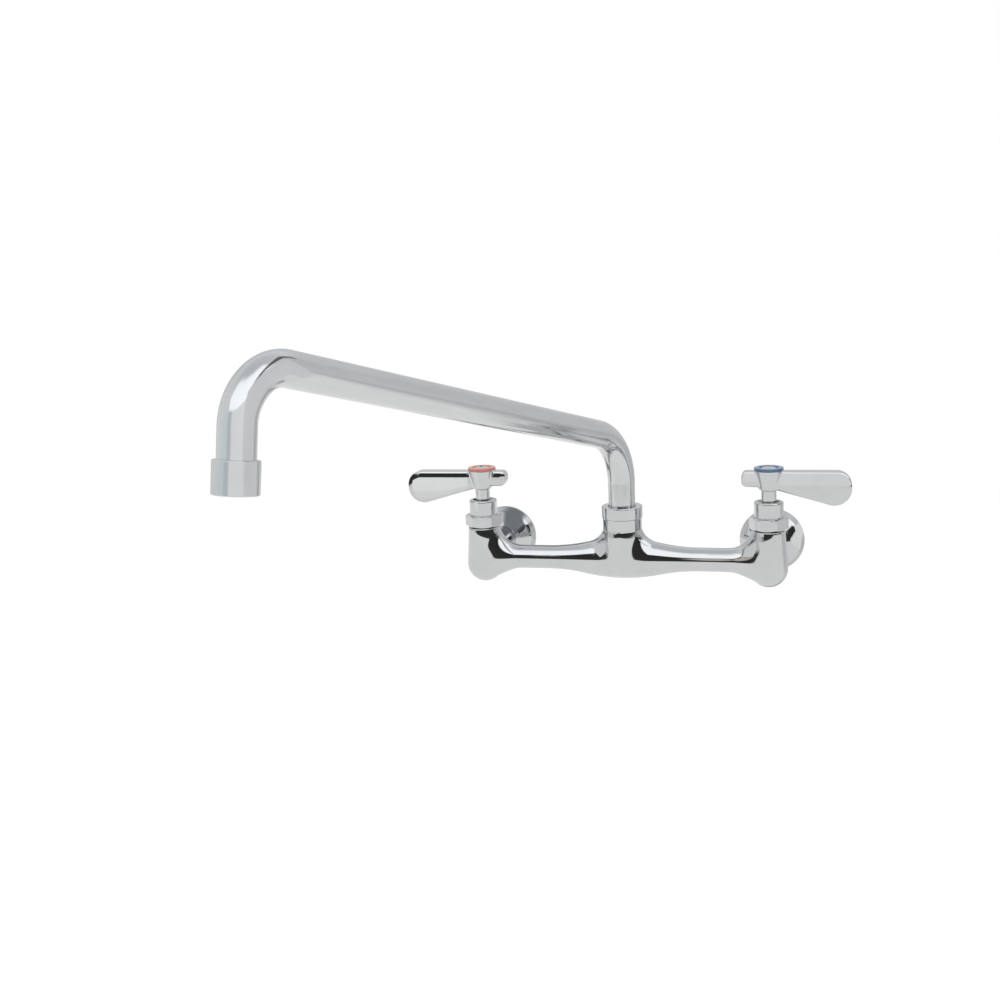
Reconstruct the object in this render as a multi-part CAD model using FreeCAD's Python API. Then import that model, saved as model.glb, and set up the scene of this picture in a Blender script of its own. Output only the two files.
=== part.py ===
import FreeCAD, Part
import math
import os

from FreeCAD import Vector

# Wall mounted two-valve kitchen faucet with a swing spout.
# Frame: X to the right, Y into the wall, Z up. The origin is on the wall face, midway between
# the two inlets and level with their axes. Millimetres and degrees.

# Fits
running_gap = 0.05          # between pieces that turn in each other, and between stacked faces
thread_gap = 0.1            # between a thread and its mate, both modelled as plain cylinders
tube_gap = 0.3              # around the spout tube in the swivel nut

# Faucet body
inlet_spacing = 203.2       # 8 in between the inlets
wall_to_axis = 66.6         # wall face to the plane of the valve and spout axes
tube_r = 8.5                # cross tube
waterway_r = 5.5            # bore of the cross tube
boss_half_length = 54.0     # half the length over which the cross tube swells
boss_margin = 1.4           # the swelling stands this much wider than the neck
neck_r = 13.6               # root of the spout neck
neck_fillet = 9.0
neck_rise = 21.5            # axis of the cross tube to the underside of the neck collar
collar_r = 13.9
collar_height = 8.5
neck_thread_r = 13.0
neck_well_r = 7.0           # waterway from the cross tube up to the spout socket
edge_break = 0.4            # rounding of turned edges

# Valve columns of the body
column_rise = 22.3          # axis of the cross tube to the top of a column
column_drop = 18.6          # axis of the cross tube to the tip under a column
column_top_r = 11.3
column_draft = 4.0          # taper of the casting
column_fillet = 12.0
column_floor = 7.6          # metal under the inlet chamber
seat_drop = 1.0             # axis of the cross tube to the cartridge seat
seat_bore_r = 4.5
inlet_port_r = 3.2          # slanted port from the leg to the inlet chamber
inlet_port_drop = 3.5       # where that port starts, below the leg's axis
inlet_port_start = 14.0     # where that port starts, behind the column's axis

# Inlet legs and wall flanges
leg_r = 10.0
leg_root_r = 12.0           # flared root of a leg at its column
leg_root_end = 5.0          # where the flare starts, behind the column's axis
leg_flare_end = 16.0        # where the flare has run out, behind the column's axis
leg_flare_round = 14.0
leg_bore_r = 6.0
spigot_r = 7.8              # threaded end of a leg
flange_r = 23.6
flange_rim_thickness = 2.5
flange_shoulder_r = 20.6    # dome of the flange, from the rim up to the hub
flange_shoulder = 7.6
flange_crown_r = 13.5
flange_crown = 12.4
flange_hub_r = 10.4
flange_hub_start = 13.6
pipe_thread_r = 9.3         # 1/2 in female pipe thread
pipe_thread_depth = 11.0
flange_web_thickness = 2.0            # between the pipe thread and the leg's thread
flange_web_bore_r = 6.3
spigot_socket = 8.0         # depth of the leg's thread in the flange
inlet_washer_thickness = 1.5

# Cartridge, from its seat upwards
seal_height = 2.4
seal_width = 2.3
fixed_disc_height = 2.8
rotating_disc_height = 2.6
disc_r = 7.0
port_inner_r = 1.9          # ports of the ceramic discs
port_outer_r = 5.8
port_angle = 76.0
driver_height = 3.0                # drive flange of the stem
tang_width = 2.6
tang_length = 8.0
tang_depth = 1.0
skirt_wall = 0.8
skirt_gap = 1.2             # skirt's lower edge to the seat
window_width = 7.0          # side outlets of the cartridge
window_margin = 0.6         # metal left over a side outlet

# Bonnet
cartridge_thread_r = 9.0
thread_start = 1.0          # metal between the disc chamber and the thread's lower end
gasket_thickness = 0.6
gasket_r = 10.8
hex_flats = 23.8
hex_height = 8.5
hex_chamfer = 30.0          # slope of the hex's bevelled corners
hex_turn = {"hot": 9.0, "cold": -7.0}
barrel_r = 10.0
barrel_height = 10.8
barrel_round = 1.2
clip_recess_r = 7.4
clip_recess_depth = 1.2

# Stem
stem_r = 5.2
stem_reveal = 8.0           # bonnet top to the underside of the handle
o_ring_r = 0.55             # half the thickness of a stem O-ring
o_ring_depths = (14.0, 20.0)  # below the bonnet's top
clip_width = 2.6
clip_thickness = 0.7
clip_opening = 6.0
spline_teeth = 20
spline_r = 4.3
spline_depth = 0.5
spline_length = 8.6

# Lever handle, drawn with the lever along +X
hub_height = 13.7
hub_top_r = 10.0
hub_bottom_r = 6.4
lever_drop = 0.5            # hub's top to the lever's top
lever_length = 55.0
lever_thickness = 11.0
lever_root = 11.3           # lever's height at the hub's axis
lever_tip = 27.0            # lever's height at the tip, before its corners are rounded
lever_upper_round = 6.5
lever_lower_round = 9.0
lever_edge = 3.2            # rounding along the lever's edges
tail_length = 18.3
tail_root = 11.2
tail_tip = 10.4
tail_round = 3.6
index_thickness = 1.2
screw_r = 2.4
screw_length = 15.0
screw_head_r = 5.5
screw_head_height = 1.7
screw_slot = 1.1            # width of the cross recess
screw_slot_length = 5.0
screw_slot_depth = 1.0
screw_bore_gap = 0.3

# Spout
spout_r = 9.525             # 3/4 in tube
spout_wall = 1.2
spout_swing = 21.5          # spout at rest, to the left of straight out
spout_reach = 356.6         # swivel axis to the middle of the outlet, 14 in spout
spout_slope = 14.0
spout_bend_height = 54.4    # axis of the cross tube to the start of the first bend
spout_bend = 40.4           # centre line radius of the first bend
outlet_bend = 28.8          # centre line radius of the outlet bend
outlet_tail = 15.0          # straight stretch above the aerator
outlet_tilt = 8.2           # outlet leans outwards

# Swivel
nut_r = 14.5
nut_height = 8.5
nut_lip_thickness = 1.2
nut_round = 1.0
swivel_washer_thickness = 0.6
sleeve_r = 10.95
sleeve_flange_height = 2.0
sleeve_flange_r = 12.5
sleeve_length = 22.0        # below the flange
sleeve_bore_r = 7.5
socket_clearance = 1.0      # under the sleeve, in the neck
tube_seat = 6.6             # tube's foot to the sleeve flange's underside
sleeve_o_ring_r = 0.77
sleeve_o_ring_depths = (11.0, 17.0)  # below the sleeve's flange

# Aerator, from the outlet upwards
aerator_r = 11.6
aerator_length = 16.9
aerator_round = 0.8
aerator_lip_height = 1.2
aerator_lip_r = 8.2
screen_thickness = 0.4
screen_hole_r = 0.55
screen_pitch = 1.6
insert_height = 5.5
insert_wall = 1.2
insert_floor = 1.5
insert_hole_r = 1.0
insert_pitch = 3.1
aerator_gasket_height = 1.6
aerator_gasket_width = 2.2

# Levels that several pieces share, above the axis of the cross tube
seat_level = -seat_drop
fixed_disc_level = seat_level + seal_height
rotating_disc_level = fixed_disc_level + fixed_disc_height + running_gap
driver_level = rotating_disc_level + rotating_disc_height
chamber_top = driver_level + driver_height + running_gap
hex_level = column_rise + gasket_thickness
barrel_level = hex_level + hex_height
bonnet_top = barrel_level + barrel_height
hub_level = bonnet_top + stem_reveal
lever_top = hub_level + hub_height - lever_drop
index_level = hub_level + hub_height
head_level = index_level + index_thickness
spline_top = hub_level + spline_length
stem_bore_r = stem_r + running_gap
column_bore_r = cartridge_thread_r + thread_gap
clip_level = bonnet_top - clip_recess_depth + running_gap

nut_level = neck_rise + collar_height
nut_top = nut_level + nut_height
washer_level = nut_top - nut_lip_thickness - swivel_washer_thickness - running_gap
sleeve_flange_level = washer_level - sleeve_flange_height
neck_top = sleeve_flange_level - running_gap
tube_foot = sleeve_flange_level - tube_seat
socket_r = sleeve_r + running_gap
socket_floor = sleeve_flange_level - sleeve_length - socket_clearance

boss_r = neck_r + boss_margin
half_spacing = inlet_spacing / 2
flange_length = pipe_thread_depth + flange_web_thickness + spigot_socket
tolerance = 1e-3


def rounded_corner(before, corner, after, rounding):
    # Start, middle and end of the arc that rounds a corner.
    to_before = (before - corner).normalize()
    to_after = (after - corner).normalize()
    half = to_before.getAngle(to_after) / 2
    bisector = (to_before + to_after).normalize()
    middle = corner + bisector * (rounding / math.sin(half) - rounding)
    reach = rounding / math.tan(half)
    return corner + to_before * reach, middle, corner + to_after * reach


def outline(corners, place):
    # Closed face through (u, v, rounding) corners, where place turns (u, v) into a point.
    points = [Vector(u, v, 0) for u, v, rounding in corners]
    count = len(corners)
    edges = []
    ends = []
    for i, (u, v, rounding) in enumerate(corners):
        if rounding > 0:
            arc = rounded_corner(points[i - 1], points[i], points[(i + 1) % count], rounding)
            edges.append(Part.Arc(*[place(p) for p in arc]).toShape())
            ends.append((arc[0], arc[2]))
        else:
            ends.append((points[i], points[i]))
    for i in range(count):
        start = ends[i][1]
        end = ends[(i + 1) % count][0]
        if (end - start).Length > tolerance:
            edges.append(Part.LineSegment(place(start), place(end)).toShape())
    return Part.Face(Part.Wire(Part.sortEdges(edges)[0]))


def turned(corners):
    # Solid turned about Z from (radius, height, rounding) corners, with its seam at the back.
    face = outline(corners, lambda p: Vector(0, p.x, p.y))
    return face.revolve(Vector(), Vector(0, 0, 1), 360)


def rod(radius, low, high):
    return Part.makeCylinder(radius, high - low, Vector(0, 0, low))


def ring(outer, inner, low, high, rounding=0):
    return turned([(inner, low, 0), (outer, low, rounding), (outer, high, rounding), (inner, high, 0)])


def block(width, depth, low, high):
    # Box centred on the Z axis.
    return Part.makeBox(width, depth, high - low, Vector(-width / 2, -depth / 2, low))


def prism(points, low, high):
    corners = [Vector(x, y, low) for x, y in points]
    face = Part.Face(Part.makePolygon(corners + corners[:1]))
    return face.extrude(Vector(0, 0, high - low))


def polygon_points(count, radii, turn=0):
    # Points around the Z axis that take their radii in turn.
    points = []
    for i in range(count):
        angle = math.radians(turn + 360 * i / count)
        radius = radii[i % len(radii)]
        points.append((radius * math.cos(angle), radius * math.sin(angle)))
    return points


def sector(inner, outer, middle, low, high):
    # Ring sector of the discs' port angle, about the direction given by middle.
    solid = ring(outer, inner, low, high)
    span = 2 * outer
    half = math.radians(port_angle / 2)
    wedge = prism([(0, 0), (span, -span * math.tan(half)), (span, span * math.tan(half))], low, high)
    wedge.rotate(Vector(), Vector(0, 0, 1), middle)
    return solid.common(wedge)


def edges_where(shape, test):
    # Edges whose sample points all pass the test.
    found = []
    for edge in shape.Edges:
        span = edge.LastParameter - edge.FirstParameter
        points = [edge.valueAt(edge.FirstParameter + span * part) for part in (0.1, 0.5, 0.9)]
        if all(test(p) for p in points):
            found.append(edge)
    return found


# Faucet body, drawn about the middle of the cross tube


def cross_tube():
    # Tube along X that swells to boss_r in the middle through equal tangent arcs.
    swell = boss_r - tube_r
    arc_r = (boss_half_length ** 2 + swell ** 2) / (4 * swell)
    half_turn = math.asin(boss_half_length / 2 / arc_r) / 2

    def point(x, r):
        return Vector(x, r, 0)

    def hollow(side):
        # Middle of the concave arc on one side.
        x = boss_half_length - arc_r * math.sin(half_turn)
        return point(side * x, tube_r + arc_r * (1 - math.cos(half_turn)))

    left_end = point(-half_spacing, tube_r)
    right_end = point(half_spacing, tube_r)
    left_foot = point(-boss_half_length, tube_r)
    right_foot = point(boss_half_length, tube_r)
    left_turn = point(-boss_half_length / 2, tube_r + swell / 2)
    right_turn = point(boss_half_length / 2, tube_r + swell / 2)
    edges = [
        Part.LineSegment(point(-half_spacing, 0), left_end),
        Part.LineSegment(left_end, left_foot),
        Part.Arc(left_foot, hollow(-1), left_turn),
        Part.Arc(left_turn, point(0, boss_r), right_turn),
        Part.Arc(right_turn, hollow(1), right_foot),
        Part.LineSegment(right_foot, right_end),
        Part.LineSegment(right_end, point(half_spacing, 0)),
        Part.LineSegment(point(half_spacing, 0), point(-half_spacing, 0)),
    ]
    face = Part.Face(Part.Wire([edge.toShape() for edge in edges]))
    return face.revolve(Vector(), Vector(1, 0, 0), 360)


# A column is a tapered cylinder that runs into a tangent ball at its tip.
taper = math.tan(math.radians(column_draft))
ball_r = (column_top_r + (column_rise + column_drop) * taper) / (math.hypot(1, taper) + taper)
ball_level = ball_r - column_drop
ball_touch = ball_level + ball_r * math.sin(math.radians(column_draft))


def column_radius(z):
    if z > ball_touch:
        return column_top_r + (column_rise - z) * taper
    return math.sqrt(max(ball_r ** 2 - (z - ball_level) ** 2, 0))


def column():
    touch = Vector(0, column_radius(ball_touch), ball_touch)
    middle = Vector(0, ball_r * math.sqrt(0.5), ball_level - ball_r * math.sqrt(0.5))
    tip = Vector(0, 0, -column_drop)
    top = Vector(0, 0, column_rise)
    rim = Vector(0, column_top_r, column_rise)
    edges = [
        Part.LineSegment(top, rim),
        Part.LineSegment(rim, touch),
        Part.Arc(touch, middle, tip),
        Part.LineSegment(tip, top),
    ]
    face = Part.Face(Part.Wire([edge.toShape() for edge in edges]))
    return face.revolve(Vector(), Vector(0, 0, 1), 360)


def toward_wall(solid):
    # Turns a piece drawn along +Z so that it runs along +Y.
    solid.rotate(Vector(), Vector(1, 0, 0), -90)
    return solid


def leg():
    shoulder = wall_to_axis - flange_length
    end = shoulder + spigot_socket - inlet_washer_thickness
    return toward_wall(turned([
        (0, 0, 0),
        (leg_root_r, 0, 0),
        (leg_root_r, leg_root_end, 0),
        (leg_r, leg_flare_end, leg_flare_round),
        (leg_r, shoulder, edge_break),
        (spigot_r, shoulder, 0),
        (spigot_r, end, edge_break),
        (0, end, 0),
    ]))


def column_waterways():
    # Cartridge bore, inlet chamber under its seat, slanted port and the leg's bore.
    chamber_floor = column_floor - column_drop
    chamber = rod(seat_bore_r, chamber_floor, seat_level + tolerance)
    cartridge_bore = rod(column_bore_r, seat_level, column_rise)
    leg_bore = toward_wall(rod(leg_bore_r, inlet_port_start, wall_to_axis))
    start = Vector(0, 0, (chamber_floor + seat_level) / 2 - inlet_port_r / 2)
    end = Vector(0, inlet_port_start + inlet_port_r, -inlet_port_drop)
    port = Part.makeCylinder(inlet_port_r, (end - start).Length, start, end - start)
    return [chamber, cartridge_bore, leg_bore, port]


def faucet_body():
    columns = []
    legs = []
    cuts = []
    for side in (-1, 1):
        offset = Vector(side * half_spacing, 0, 0)
        columns.append(column().translate(offset))
        legs.append(leg().translate(offset))
        for cut in column_waterways():
            cuts.append(cut.translate(offset))

    def on_column_root(p):
        to_axis = math.hypot(abs(p.x) - half_spacing, p.y)
        on_tube = abs(math.hypot(p.y, p.z) - tube_r) < tolerance
        return on_tube and abs(to_axis - column_radius(p.z)) < tolerance

    def on_neck_root(p):
        return abs(math.hypot(p.x, p.y) - neck_r) < tolerance and p.z < boss_r

    solid = cross_tube().fuse(columns)
    solid = solid.makeFillet(column_fillet, edges_where(solid, on_column_root))
    solid = solid.fuse(rod(neck_r, 0, nut_level))
    solid = solid.makeFillet(neck_fillet, edges_where(solid, on_neck_root))
    collar = turned([
        (0, neck_rise, 0),
        (collar_r, neck_rise, edge_break),
        (collar_r, nut_level, edge_break),
        (neck_thread_r, nut_level, 0),
        (neck_thread_r, neck_top, edge_break),
        (0, neck_top, 0),
    ])
    solid = solid.fuse(legs + [collar])
    bore_end = half_spacing - (seat_bore_r + column_bore_r) / 2
    cross_bore = Part.makeCylinder(waterway_r, 2 * bore_end, Vector(-bore_end, 0, 0), Vector(1, 0, 0))
    cuts += [cross_bore, rod(neck_well_r, 0, socket_floor), rod(socket_r, socket_floor, neck_top)]
    return solid.cut(cuts)


# Wall flange and its washer, drawn with the wall at zero height and the hub up


def wall_flange():
    return turned([
        (pipe_thread_r, 0, 0),
        (flange_r, 0, edge_break),
        (flange_r, flange_rim_thickness, edge_break),
        (flange_shoulder_r, flange_shoulder, flange_shoulder),
        (flange_crown_r, flange_crown, flange_rim_thickness),
        (flange_hub_r, flange_hub_start, edge_break),
        (flange_hub_r, flange_length, edge_break),
        (spigot_r + thread_gap, flange_length, 0),
        (spigot_r + thread_gap, pipe_thread_depth + flange_web_thickness, 0),
        (flange_web_bore_r, pipe_thread_depth + flange_web_thickness, 0),
        (flange_web_bore_r, pipe_thread_depth, 0),
        (pipe_thread_r, pipe_thread_depth, 0),
    ])


def inlet_washer_ring():
    low = pipe_thread_depth + flange_web_thickness
    return ring(spigot_r, flange_web_bore_r, low, low + inlet_washer_thickness)


def from_wall(solid, side):
    # Places a flange piece on the wall around an inlet.
    solid.rotate(Vector(), Vector(1, 0, 0), 90)
    return solid.translate(Vector(side * half_spacing, 0, 0))


# Cartridge pieces, drawn about the valve's axis


def seat_seal():
    return ring(disc_r, disc_r - seal_width, seat_level, fixed_disc_level)


def ceramic_disc(low, height, first_port):
    # Disc with two opposite ports.
    solid = rod(disc_r, low, low + height)
    ports = [sector(port_inner_r, port_outer_r, first_port + turn, low, low + height) for turn in (0, 180)]
    return solid.cut(ports)


def rotating_disc_solid():
    # Closed at rest: its ports lie a quarter turn from those of the fixed disc.
    top = rotating_disc_level + rotating_disc_height
    length = tang_length + 2 * thread_gap
    width = tang_width + 2 * thread_gap
    slot = block(length, width, top - tang_depth - thread_gap, top)
    return ceramic_disc(rotating_disc_level, rotating_disc_height, 90).cut(slot)


def bonnet(turn):
    chamber_r = disc_r + thread_gap
    skirt_r = chamber_r + skirt_wall
    skirt_level = seat_level + skirt_gap
    thread_level = chamber_top + thread_start
    core = turned([
        (chamber_r, skirt_level, 0),
        (skirt_r, skirt_level, 0),
        (skirt_r, thread_level, 0),
        (cartridge_thread_r, thread_level, edge_break),
        (cartridge_thread_r, barrel_level - edge_break, 0),
        (barrel_r, barrel_level - edge_break, 0),
        (barrel_r, bonnet_top, barrel_round),
        (clip_recess_r, bonnet_top, 0),
        (clip_recess_r, bonnet_top - clip_recess_depth, 0),
        (stem_bore_r, bonnet_top - clip_recess_depth, 0),
        (stem_bore_r, chamber_top, 0),
        (chamber_r, chamber_top, 0),
    ])
    corner_r = hex_flats / math.sqrt(3)
    bevel = (corner_r - hex_flats / 2) * math.tan(math.radians(hex_chamfer))
    flats = prism(polygon_points(6, [corner_r], turn), hex_level, barrel_level)
    bevelled = turned([
        (cartridge_thread_r - edge_break, hex_level, 0),
        (hex_flats / 2, hex_level, 0),
        (corner_r, hex_level + bevel, 0),
        (corner_r, barrel_level - bevel, 0),
        (hex_flats / 2, barrel_level, 0),
        (cartridge_thread_r - edge_break, barrel_level, 0),
    ])
    windows = block(2 * column_bore_r, window_width, rotating_disc_level, chamber_top - window_margin)
    return core.fuse(flats.common(bevelled)).cut(windows)


def bonnet_gasket_ring():
    return ring(gasket_r, cartridge_thread_r + thread_gap, column_rise, hex_level)


# Stem pieces, drawn about the valve's axis


def spline_points(outer_r):
    return polygon_points(2 * spline_teeth, [outer_r, outer_r - spline_depth])


def stem():
    groove_r = stem_r - 2 * o_ring_r
    clip_groove_r = clip_recess_r - clip_width - 2 * thread_gap
    corners = [(0, driver_level, 0), (disc_r, driver_level, 0), (disc_r, chamber_top - running_gap, 0),
               (stem_r, chamber_top - running_gap, 0)]
    grooves = [(bonnet_top - depth, 2 * o_ring_r + 2 * thread_gap, groove_r) for depth in o_ring_depths]
    grooves.append((clip_level + clip_thickness / 2, clip_thickness + 2 * running_gap, clip_groove_r))
    for middle, width, floor_r in sorted(grooves):
        for radius, level in ((stem_r, -1), (floor_r, -1), (floor_r, 1), (stem_r, 1)):
            corners.append((radius, middle + level * width / 2, 0))
    shoulder = hub_level - running_gap
    corners += [(stem_r, shoulder, edge_break), (0, shoulder, 0)]
    solid = turned(corners)
    tang = block(tang_length, tang_width, driver_level - tang_depth, driver_level)
    spline = prism(spline_points(spline_r), shoulder, spline_top)
    tapped = rod(screw_r + thread_gap, head_level - screw_length - edge_break, spline_top)
    return solid.fuse([tang, spline]).cut(tapped)


def stem_o_rings():
    middle_r = stem_r - o_ring_r + running_gap / 2
    levels = [bonnet_top - depth for depth in o_ring_depths]
    return Part.makeCompound([Part.makeTorus(middle_r, o_ring_r, Vector(0, 0, z)) for z in levels])


def stem_clip():
    outer = clip_recess_r - thread_gap
    solid = ring(outer, outer - clip_width, clip_level, clip_level + clip_thickness)
    opening = block(2 * outer, clip_opening, clip_level, clip_level + clip_thickness)
    return solid.cut(opening.translate(Vector(outer, 0, 0)))


# Handle pieces, drawn with the lever along +X


def blade(corners):
    # Flat bar cut to a side outline that starts inside the hub, with rounded edges outside it.
    half = lever_thickness / 2
    solid = outline(corners, lambda p: Vector(p.x, half, p.y)).extrude(Vector(0, -lever_thickness, 0))
    rims = edges_where(solid, lambda p: abs(abs(p.y) - half) < tolerance and abs(p.x) > tolerance)
    return solid.makeFillet(min(lever_edge, half - edge_break), rims)


def lever_handle():
    lever = blade([
        (0, lever_top, 0),
        (lever_length, lever_top, lever_upper_round),
        (lever_length, lever_top - lever_tip, lever_lower_round),
        (0, lever_top - lever_root, 0),
    ])
    tail = blade([
        (0, lever_top, 0),
        (-tail_length, lever_top, tail_round),
        (-tail_length, lever_top - tail_tip, tail_round),
        (0, lever_top - tail_root, 0),
    ])
    hub = turned([
        (0, hub_level, 0),
        (hub_bottom_r, hub_level, edge_break),
        (hub_top_r, index_level, edge_break),
        (0, index_level, 0),
    ])
    socket = prism(spline_points(spline_r + thread_gap), hub_level, spline_top + edge_break)
    screw_bore = rod(screw_r + screw_bore_gap, spline_top, index_level)
    return hub.fuse([lever, tail]).cut([socket, screw_bore])


def index_ring():
    return turned([
        (screw_r + screw_bore_gap, index_level, 0),
        (hub_top_r, index_level, 0),
        (hub_top_r, head_level, index_thickness / 2),
        (screw_r + screw_bore_gap, head_level, 0),
    ])


def handle_screw():
    # Domed head, cut from a ball, with a cross recess.
    ball = (screw_head_r ** 2 + screw_head_height ** 2) / (2 * screw_head_height)
    dome = Part.makeSphere(ball, Vector(0, 0, head_level + screw_head_height - ball))
    head = dome.common(rod(screw_head_r, head_level, head_level + screw_head_height))
    shank = rod(screw_r, head_level - screw_length, head_level)
    top = head_level + screw_head_height
    slots = [block(screw_slot_length, screw_slot, top - screw_slot_depth, top),
             block(screw_slot, screw_slot_length, top - screw_slot_depth, top)]
    return head.fuse(shank).cut(slots)


# Spout pieces, drawn about the swivel axis with the spout straight out along -Y


def spout_points():
    # Ends and arc middles of the tube's centre line, as (distance out, height), and the tube's last end.
    slope = math.radians(spout_slope)
    tilt = math.radians(outlet_tilt)
    bends_out = spout_bend * (1 - math.sin(slope)) + outlet_bend * (math.sin(slope) + math.cos(tilt))
    ends_out = (outlet_tail + aerator_length) * math.sin(tilt)
    straight = (spout_reach - bends_out - ends_out) / math.cos(slope)

    def first(turn):
        return Vector(spout_bend * (1 - math.cos(turn)), spout_bend_height + spout_bend * math.sin(turn), 0)

    first_turn = math.pi / 2 - slope
    rise_end = first(0)
    slope_start = first(first_turn)
    slope_end = slope_start + Vector(math.cos(slope), math.sin(slope), 0) * straight
    centre = slope_end + Vector(math.sin(slope), -math.cos(slope), 0) * outlet_bend

    def second(heading):
        return centre + Vector(-math.sin(heading), math.cos(heading), 0) * outlet_bend

    last = tilt - math.pi / 2
    tail_start = second(last)
    down = Vector(math.sin(tilt), -math.cos(tilt), 0)
    aerator_top = tail_start + down * outlet_tail
    return {
        "foot": Vector(0, tube_foot, 0), "rise_end": rise_end, "first_middle": first(first_turn / 2),
        "slope_start": slope_start, "slope_end": slope_end, "second_middle": second((slope + last) / 2),
        "tail_start": tail_start, "end": aerator_top + down * tube_in_aerator,
        "outlet": aerator_top + down * aerator_length,
    }


# The tube reaches down to the gasket inside the aerator.
screen_level = aerator_lip_height + running_gap
insert_level = screen_level + screen_thickness
aerator_gasket_level = insert_level + insert_height
tube_end_level = aerator_gasket_level + aerator_gasket_height
tube_in_aerator = aerator_length - tube_end_level
centre_line = {name: Vector(0, -p.x, p.y) for name, p in spout_points().items()}


def swept(radius):
    # Solid of this radius along the spout's centre line.
    at = centre_line
    path = Part.Wire([
        Part.LineSegment(at["foot"], at["rise_end"]).toShape(),
        Part.Arc(at["rise_end"], at["first_middle"], at["slope_start"]).toShape(),
        Part.LineSegment(at["slope_start"], at["slope_end"]).toShape(),
        Part.Arc(at["slope_end"], at["second_middle"], at["tail_start"]).toShape(),
        Part.LineSegment(at["tail_start"], at["end"]).toShape(),
    ])
    section = Part.Wire(Part.makeCircle(radius, at["foot"], Vector(0, 0, 1)))
    return path.makePipeShell([section], True, False)


def spout_tube():
    return swept(spout_r).cut(swept(spout_r - spout_wall))


def spout_sleeve():
    tube_socket_r = spout_r + running_gap
    groove_r = sleeve_r - 2 * sleeve_o_ring_r
    width = 2 * sleeve_o_ring_r + 2 * thread_gap
    corners = [(sleeve_bore_r, sleeve_flange_level - sleeve_length, 0),
               (sleeve_r, sleeve_flange_level - sleeve_length, edge_break)]
    for depth in sorted(sleeve_o_ring_depths, reverse=True):
        middle = sleeve_flange_level - depth
        for radius, level in ((sleeve_r, -1), (groove_r, -1), (groove_r, 1), (sleeve_r, 1)):
            corners.append((radius, middle + level * width / 2, 0))
    corners += [
        (sleeve_r, sleeve_flange_level, 0),
        (sleeve_flange_r, sleeve_flange_level, 0),
        (sleeve_flange_r, washer_level, edge_break),
        (tube_socket_r, washer_level, 0),
        (tube_socket_r, tube_foot, 0),
        (sleeve_bore_r, tube_foot, 0),
    ]
    return turned(corners)


def spout_o_rings():
    middle_r = sleeve_r - sleeve_o_ring_r + running_gap / 2
    levels = [sleeve_flange_level - depth for depth in sleeve_o_ring_depths]
    return Part.makeCompound([Part.makeTorus(middle_r, sleeve_o_ring_r, Vector(0, 0, z)) for z in levels])


def swivel_washer_ring():
    return ring(sleeve_flange_r, spout_r + tube_gap, washer_level, washer_level + swivel_washer_thickness)


def swivel_nut():
    inner_r = neck_thread_r + thread_gap
    return turned([
        (inner_r, nut_level, 0),
        (nut_r, nut_level, edge_break),
        (nut_r, nut_top, nut_round),
        (spout_r + tube_gap, nut_top, edge_break),
        (spout_r + tube_gap, nut_top - nut_lip_thickness, 0),
        (inner_r, nut_top - nut_lip_thickness, 0),
    ])


# Aerator pieces, drawn with the outlet at zero height


def aerator_housing():
    inner_r = spout_r + thread_gap
    return turned([
        (aerator_lip_r, 0, 0),
        (aerator_r, 0, aerator_round),
        (aerator_r, aerator_length, aerator_round),
        (inner_r, aerator_length, 0),
        (inner_r, aerator_lip_height, 0),
        (aerator_lip_r, aerator_lip_height, 0),
    ])


def holed_disc(radius, centres, hole_r, low, high):
    # Flat disc with round holes.
    wires = [Part.Wire(Part.makeCircle(radius, Vector(0, 0, low)))]
    wires += [Part.Wire(Part.makeCircle(hole_r, Vector(x, y, low))) for x, y in centres]
    return Part.Face(wires, "Part::FaceMakerBullseye").extrude(Vector(0, 0, high - low))


def hole_centres(pitch, within):
    # Points of a triangular grid inside a circle.
    rows = math.ceil(2 * within / pitch)
    centres = []
    for row in range(-rows, rows + 1):
        for step in range(-2 * rows, 2 * rows + 1):
            x = pitch * (step + row / 2)
            y = pitch * row * math.sin(math.pi / 3)
            if math.hypot(x, y) < within:
                centres.append((x, y))
    return centres


def aerator_screen():
    # Fine screen, with its holes inside the lip.
    centres = hole_centres(screen_pitch, aerator_lip_r - 2 * screen_hole_r)
    return holed_disc(spout_r, centres, screen_hole_r, screen_level, insert_level)


def aerator_insert():
    # Cup with a holed floor that breaks the stream.
    centres = hole_centres(insert_pitch, spout_r - insert_wall - 2 * insert_hole_r)
    floor = holed_disc(spout_r, centres, insert_hole_r, insert_level, insert_level + insert_floor)
    wall = ring(spout_r, spout_r - insert_wall, insert_level + insert_floor, aerator_gasket_level)
    return floor.fuse(wall)


def aerator_gasket_ring():
    return ring(spout_r, spout_r - aerator_gasket_width, aerator_gasket_level, tube_end_level)


# Assembly


def save(name, solid):
    solid.exportStep("parts/" + name + ".step")


def on_axis(solid, x=0):
    # Moves a piece drawn about a vertical axis to its place in front of the wall.
    return solid.translate(Vector(x, -wall_to_axis, 0))


def save_valve(name, side):
    x = side * half_spacing
    save("wall_flange_" + name, from_wall(wall_flange(), side))
    save("inlet_washer_" + name, from_wall(inlet_washer_ring(), side))
    pieces = {
        "seat_seal": seat_seal(),
        "fixed_disc": ceramic_disc(fixed_disc_level, fixed_disc_height, 0),
        "rotating_disc": rotating_disc_solid(),
        "bonnet": bonnet(hex_turn[name]),
        "bonnet_gasket": bonnet_gasket_ring(),
        "stem": stem(),
        "stem_o_rings": stem_o_rings(),
        "stem_clip": stem_clip(),
        "lever_handle": lever_handle(),
        "index_ring": index_ring(),
        "handle_screw": handle_screw(),
    }
    for piece, solid in pieces.items():
        if side < 0:
            solid.rotate(Vector(), Vector(0, 0, 1), 180)
        save(piece + "_" + name, on_axis(solid, x))


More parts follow.
